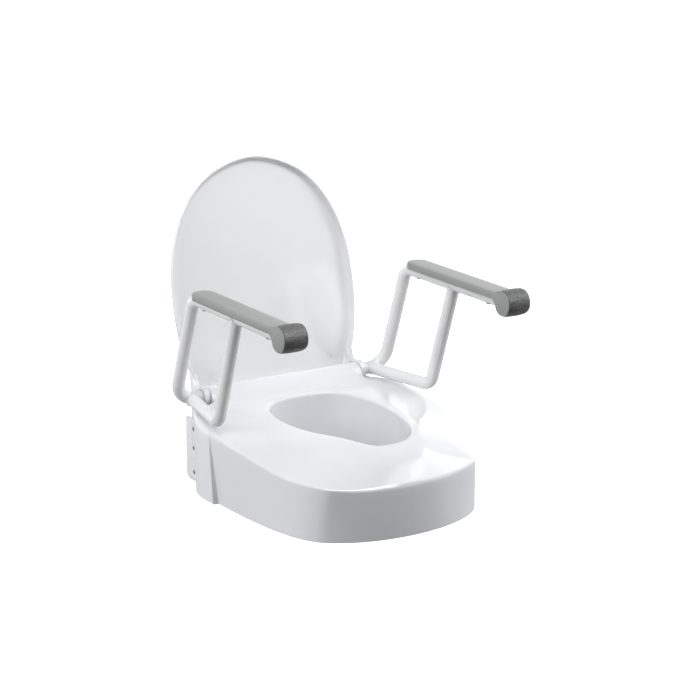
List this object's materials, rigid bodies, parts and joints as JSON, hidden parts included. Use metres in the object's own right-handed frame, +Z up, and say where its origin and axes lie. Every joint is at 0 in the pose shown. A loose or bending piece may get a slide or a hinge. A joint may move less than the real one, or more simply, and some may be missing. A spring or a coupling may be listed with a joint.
{
  "type": "raised toilet seat",
  "caption": "Height-adjustable raised toilet seat: white moulded seat with opening and skirt, hinged lid, and fold-up tubular armrests with grey pads and grip knobs.",
  "frame": {"origin": "on the seat's mirror plane, directly below the lid and armrest pivot axis, at the level of the skirt's lower edge and of the fixing bracket's pads", "axes": "+Z up, -Y to the front of the seat, +X to the right of someone looking at its front"},
  "size_m": [0.5384, 0.6224, 0.6195],
  "materials": {
    "shell_white": "gloss moulded, slightly cool white",
    "lid_white": "gloss moulded white",
    "tube_white": "white powder coat, gloss",
    "plate_white": "white powder coat",
    "pad_grey": "satin grey",
    "grip_grey": "dark grey, pitted",
    "cap_grey": "smooth grey",
    "zinc": "zinc plated",
    "rubber_black": "matt black rubber",
    "bush_natural": "natural moulded"
  },
  "bodies": {
    "bracket": {"fixing_bracket": "zinc", "bracket_pad_left": "rubber_black", "bracket_pad_right": "rubber_black", "bracket_pad_centre": "rubber_black"},
    "seat": {"seat_shell": "shell_white", "height_plate_left": "plate_white", "height_plate_right": "plate_white", "plate_screw_lower_left": "plate_white", "plate_screw_lower_right": "plate_white", "plate_screw_upper_left": "plate_white", "plate_screw_upper_right": "plate_white", "pivot_bush_outer_left": "bush_natural", "pivot_bush_outer_right": "bush_natural", "pivot_bush_inner_left": "bush_natural", "pivot_bush_inner_right": "bush_natural"},
    "lid_panel": {"lid": "lid_white", "lid_hinge_bush_left": "bush_natural", "lid_hinge_bush_right": "bush_natural"},
    "arm_left": {"arm_frame_left": "tube_white", "arm_pad_left": "pad_grey", "grip_knob_left": "grip_grey", "knob_cap_outer_left": "cap_grey", "knob_cap_inner_left": "cap_grey", "pad_screw_rear_left": "zinc", "pad_screw_front_left": "zinc", "pivot_bolt_left": "zinc", "pivot_washer_left": "zinc", "shaft_plug_left": "bush_natural"},
    "pin_left": {"lock_pin_left": "zinc", "lock_pin_knob_left": "rubber_black"},
    "arm_right": {"arm_frame_right": "tube_white", "arm_pad_right": "pad_grey", "grip_knob_right": "grip_grey", "knob_cap_outer_right": "cap_grey", "knob_cap_inner_right": "cap_grey", "pad_screw_rear_right": "zinc", "pad_screw_front_right": "zinc", "pivot_bolt_right": "zinc", "pivot_washer_right": "zinc", "shaft_plug_right": "bush_natural"},
    "pin_right": {"lock_pin_right": "zinc", "lock_pin_knob_right": "rubber_black"},
    "front_foot": {"front_rest": "shell_white", "front_rest_pad": "rubber_black"}
  },
  "joints": [
    {"name": "seat_height", "type": "slide", "parent": "bracket", "child": "seat", "axis": [0, 0, 1], "range_m": [-0.09, 0]},
    {"name": "lid_hinge", "type": "hinge", "parent": "seat", "child": "lid_panel", "pos_m": [0, 0, 0.175], "axis": [1, 0, 0], "range_deg": [0, 108]},
    {"name": "arm_left_fold", "type": "hinge", "parent": "seat", "child": "arm_left", "pos_m": [0, 0, 0.175], "axis": [-1, 0, 0], "range_deg": [0, 95]},
    {"name": "arm_right_fold", "type": "hinge", "parent": "seat", "child": "arm_right", "pos_m": [0, 0, 0.175], "axis": [-1, 0, 0], "range_deg": [0, 95]},
    {"name": "lock_pin_left_slide", "type": "slide", "parent": "bracket", "child": "pin_left", "axis": [-1, 0, 0], "range_m": [0, 0.0075]},
    {"name": "lock_pin_right_slide", "type": "slide", "parent": "bracket", "child": "pin_right", "axis": [1, 0, 0], "range_m": [0, 0.0075]},
    {"name": "front_rest_slide", "type": "slide", "parent": "seat", "child": "front_foot", "axis": [0, 0, 1], "range_m": [0, 0.09]}
  ],
  "couplings": [
    {"joint": "front_rest_slide", "follows": "seat_height", "ratio": -1}
  ]
}
